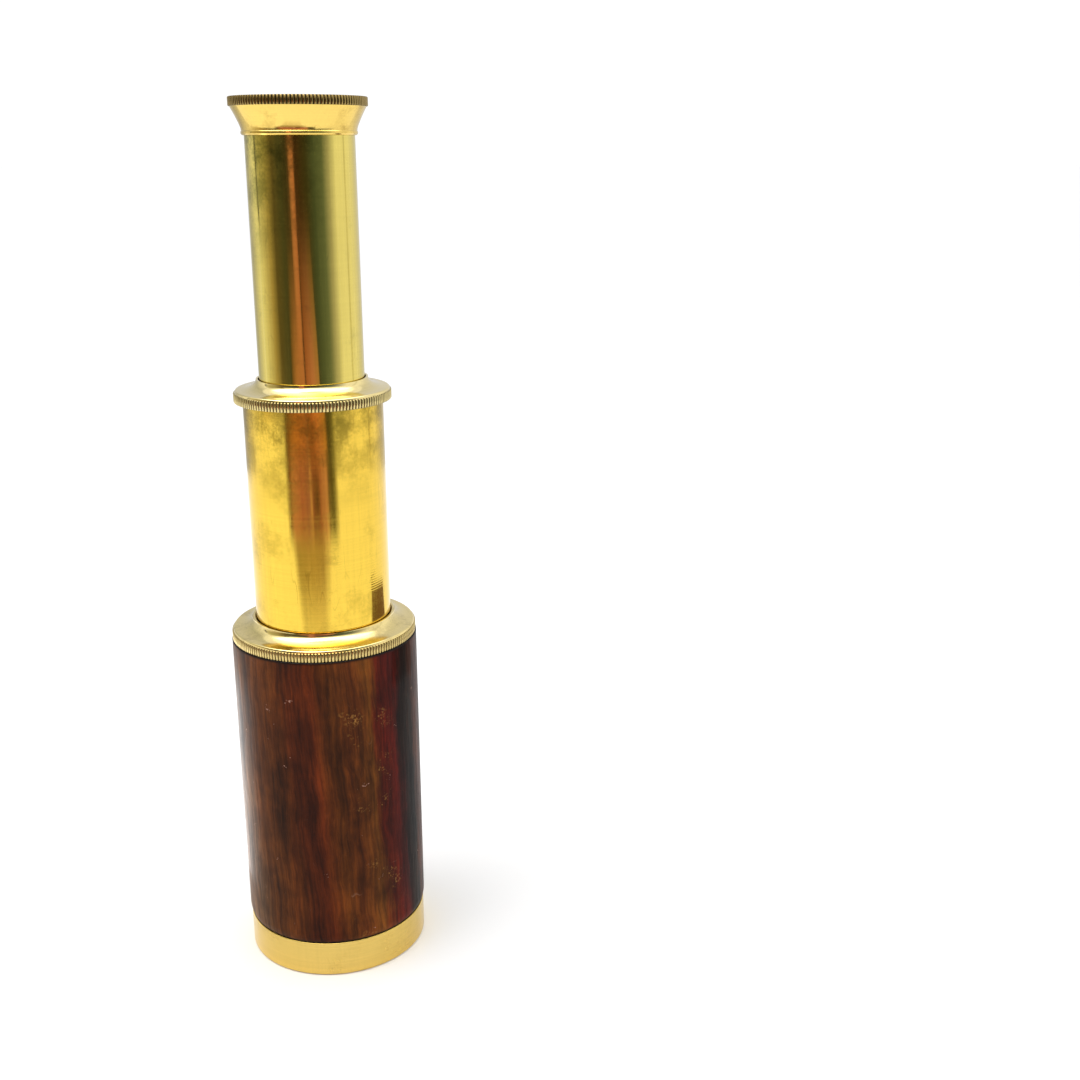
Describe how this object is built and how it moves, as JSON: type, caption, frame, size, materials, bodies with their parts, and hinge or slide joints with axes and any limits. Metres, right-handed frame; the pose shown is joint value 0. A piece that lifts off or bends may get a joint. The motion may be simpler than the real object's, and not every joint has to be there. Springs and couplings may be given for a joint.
{
  "type": "pocket telescope",
  "caption": "Hand-held draw telescope with a turned wooden barrel, nested brass draws in split friction sleeves, knurled coved collars, a flared eyecup and erecting lenses.",
  "frame": {"origin": "centre of the front face of the objective ring, where the optical axis meets the surface it stands on", "axes": "+Z along the optical axis from the objective to the eyecup; the part is turned about Z, so X and Y are free"},
  "size_m": [0.033, 0.033, 0.1535],
  "materials": {
    "polished_brass": "mirror-polished and lacquered, with soft tarnish patches and fine turning marks; dark patina in the knurling",
    "olive_brass": "polished drawn tube, slightly greener than the turned parts, with fine draw lines",
    "plain_brass": "machined, unlacquered inner brass with turning marks",
    "blackened_brass": "matte black against stray light",
    "rosewood": "dark reddish-brown, straight streaky grain along the tube, thin polish with small worn spots",
    "optical_glass": "clear polished glass"
  },
  "bodies": {
    "barrel": {"objective_ring": "polished_brass", "objective_cell": "plain_brass", "objective_lens": "optical_glass", "objective_retainer": "blackened_brass", "objective_stop": "blackened_brass", "body_tube": "plain_brass", "wood_barrel": "rosewood", "barrel_collar": "polished_brass", "barrel_sleeve_nut": "plain_brass"},
    "barrel_sleeve": {"barrel_sleeve": "plain_brass"},
    "large_draw": {"large_draw_tube": "polished_brass", "large_draw_stop": "plain_brass", "draw_collar": "polished_brass", "draw_sleeve_nut": "plain_brass"},
    "draw_sleeve": {"draw_sleeve": "plain_brass"},
    "small_draw": {"small_draw_tube": "olive_brass", "small_draw_stop": "plain_brass", "eyecup": "polished_brass", "eyepiece_tube": "plain_brass", "eye_lens": "optical_glass", "eye_lens_ring": "blackened_brass", "field_lens": "optical_glass", "field_lens_ring": "blackened_brass", "field_stop": "blackened_brass", "erector_tube": "blackened_brass", "erector_front_lens": "optical_glass", "erector_rear_lens": "optical_glass", "erector_front_ring": "blackened_brass", "erector_rear_ring": "blackened_brass", "erector_stop": "blackened_brass"}
  },
  "joints": [
    {"name": "barrel_sleeve_twist", "type": "hinge", "parent": "barrel", "child": "barrel_sleeve", "pos_m": [0, 0, 0.058], "axis": [0, 0, 1], "continuous": true},
    {"name": "large_draw_slide", "type": "slide", "parent": "barrel_sleeve", "child": "large_draw", "axis": [0, 0, 1], "range_m": [-0.03875, 0]},
    {"name": "draw_sleeve_twist", "type": "hinge", "parent": "large_draw", "child": "draw_sleeve", "pos_m": [0, 0, 0.1006], "axis": [0, 0, 1], "continuous": true},
    {"name": "small_draw_slide", "type": "slide", "parent": "draw_sleeve", "child": "small_draw", "axis": [0, 0, 1], "range_m": [-0.03975, 0]}
  ]
}
